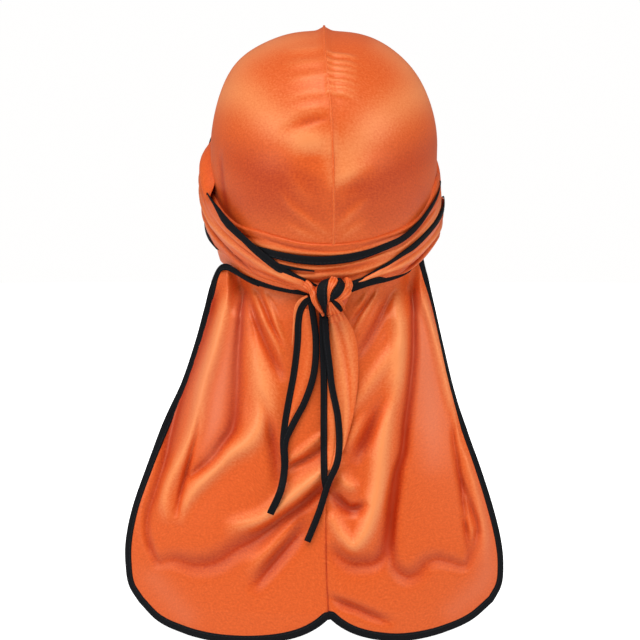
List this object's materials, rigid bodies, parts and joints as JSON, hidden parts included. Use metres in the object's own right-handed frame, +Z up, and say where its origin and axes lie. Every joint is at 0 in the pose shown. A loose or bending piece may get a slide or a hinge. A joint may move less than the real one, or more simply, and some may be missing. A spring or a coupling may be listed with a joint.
{
  "type": "durag",
  "caption": "Satin durag in its worn form: seamed crown, two long edge-taped ties wrapped and knotted at the nape, and a folded cape with round lobes.",
  "frame": {"origin": "inside of the crown's top on the centre line, where the top of the head seats", "axes": "+Z up, -Y towards the forehead, +Y towards the nape, knot and cape, +X towards the wearer's left"},
  "size_m": [0.2676, 0.2005, 0.4259],
  "materials": {
    "satin": "satin",
    "edge_tape": "matte"
  },
  "bodies": {
    "root": {"crown_left": "satin", "crown_right": "satin", "crown_seam": "satin", "cape_left": "satin", "cape_right": "satin", "cape_seam": "satin", "cape_binding_left": "edge_tape", "cape_binding_right": "edge_tape", "tie_left": "satin", "tie_left_upper_binding": "edge_tape", "tie_left_lower_binding": "edge_tape", "tie_right": "satin", "tie_right_upper_binding": "edge_tape", "tie_right_lower_binding": "edge_tape", "knot": "satin", "knot_left_binding": "edge_tape", "knot_right_binding": "edge_tape", "tail_left": "satin", "tail_left_binding_outer": "edge_tape", "tail_left_binding_inner": "edge_tape", "tail_right": "satin", "tail_right_binding_outer": "edge_tape", "tail_right_binding_inner": "edge_tape"}
  },
  "joints": []
}
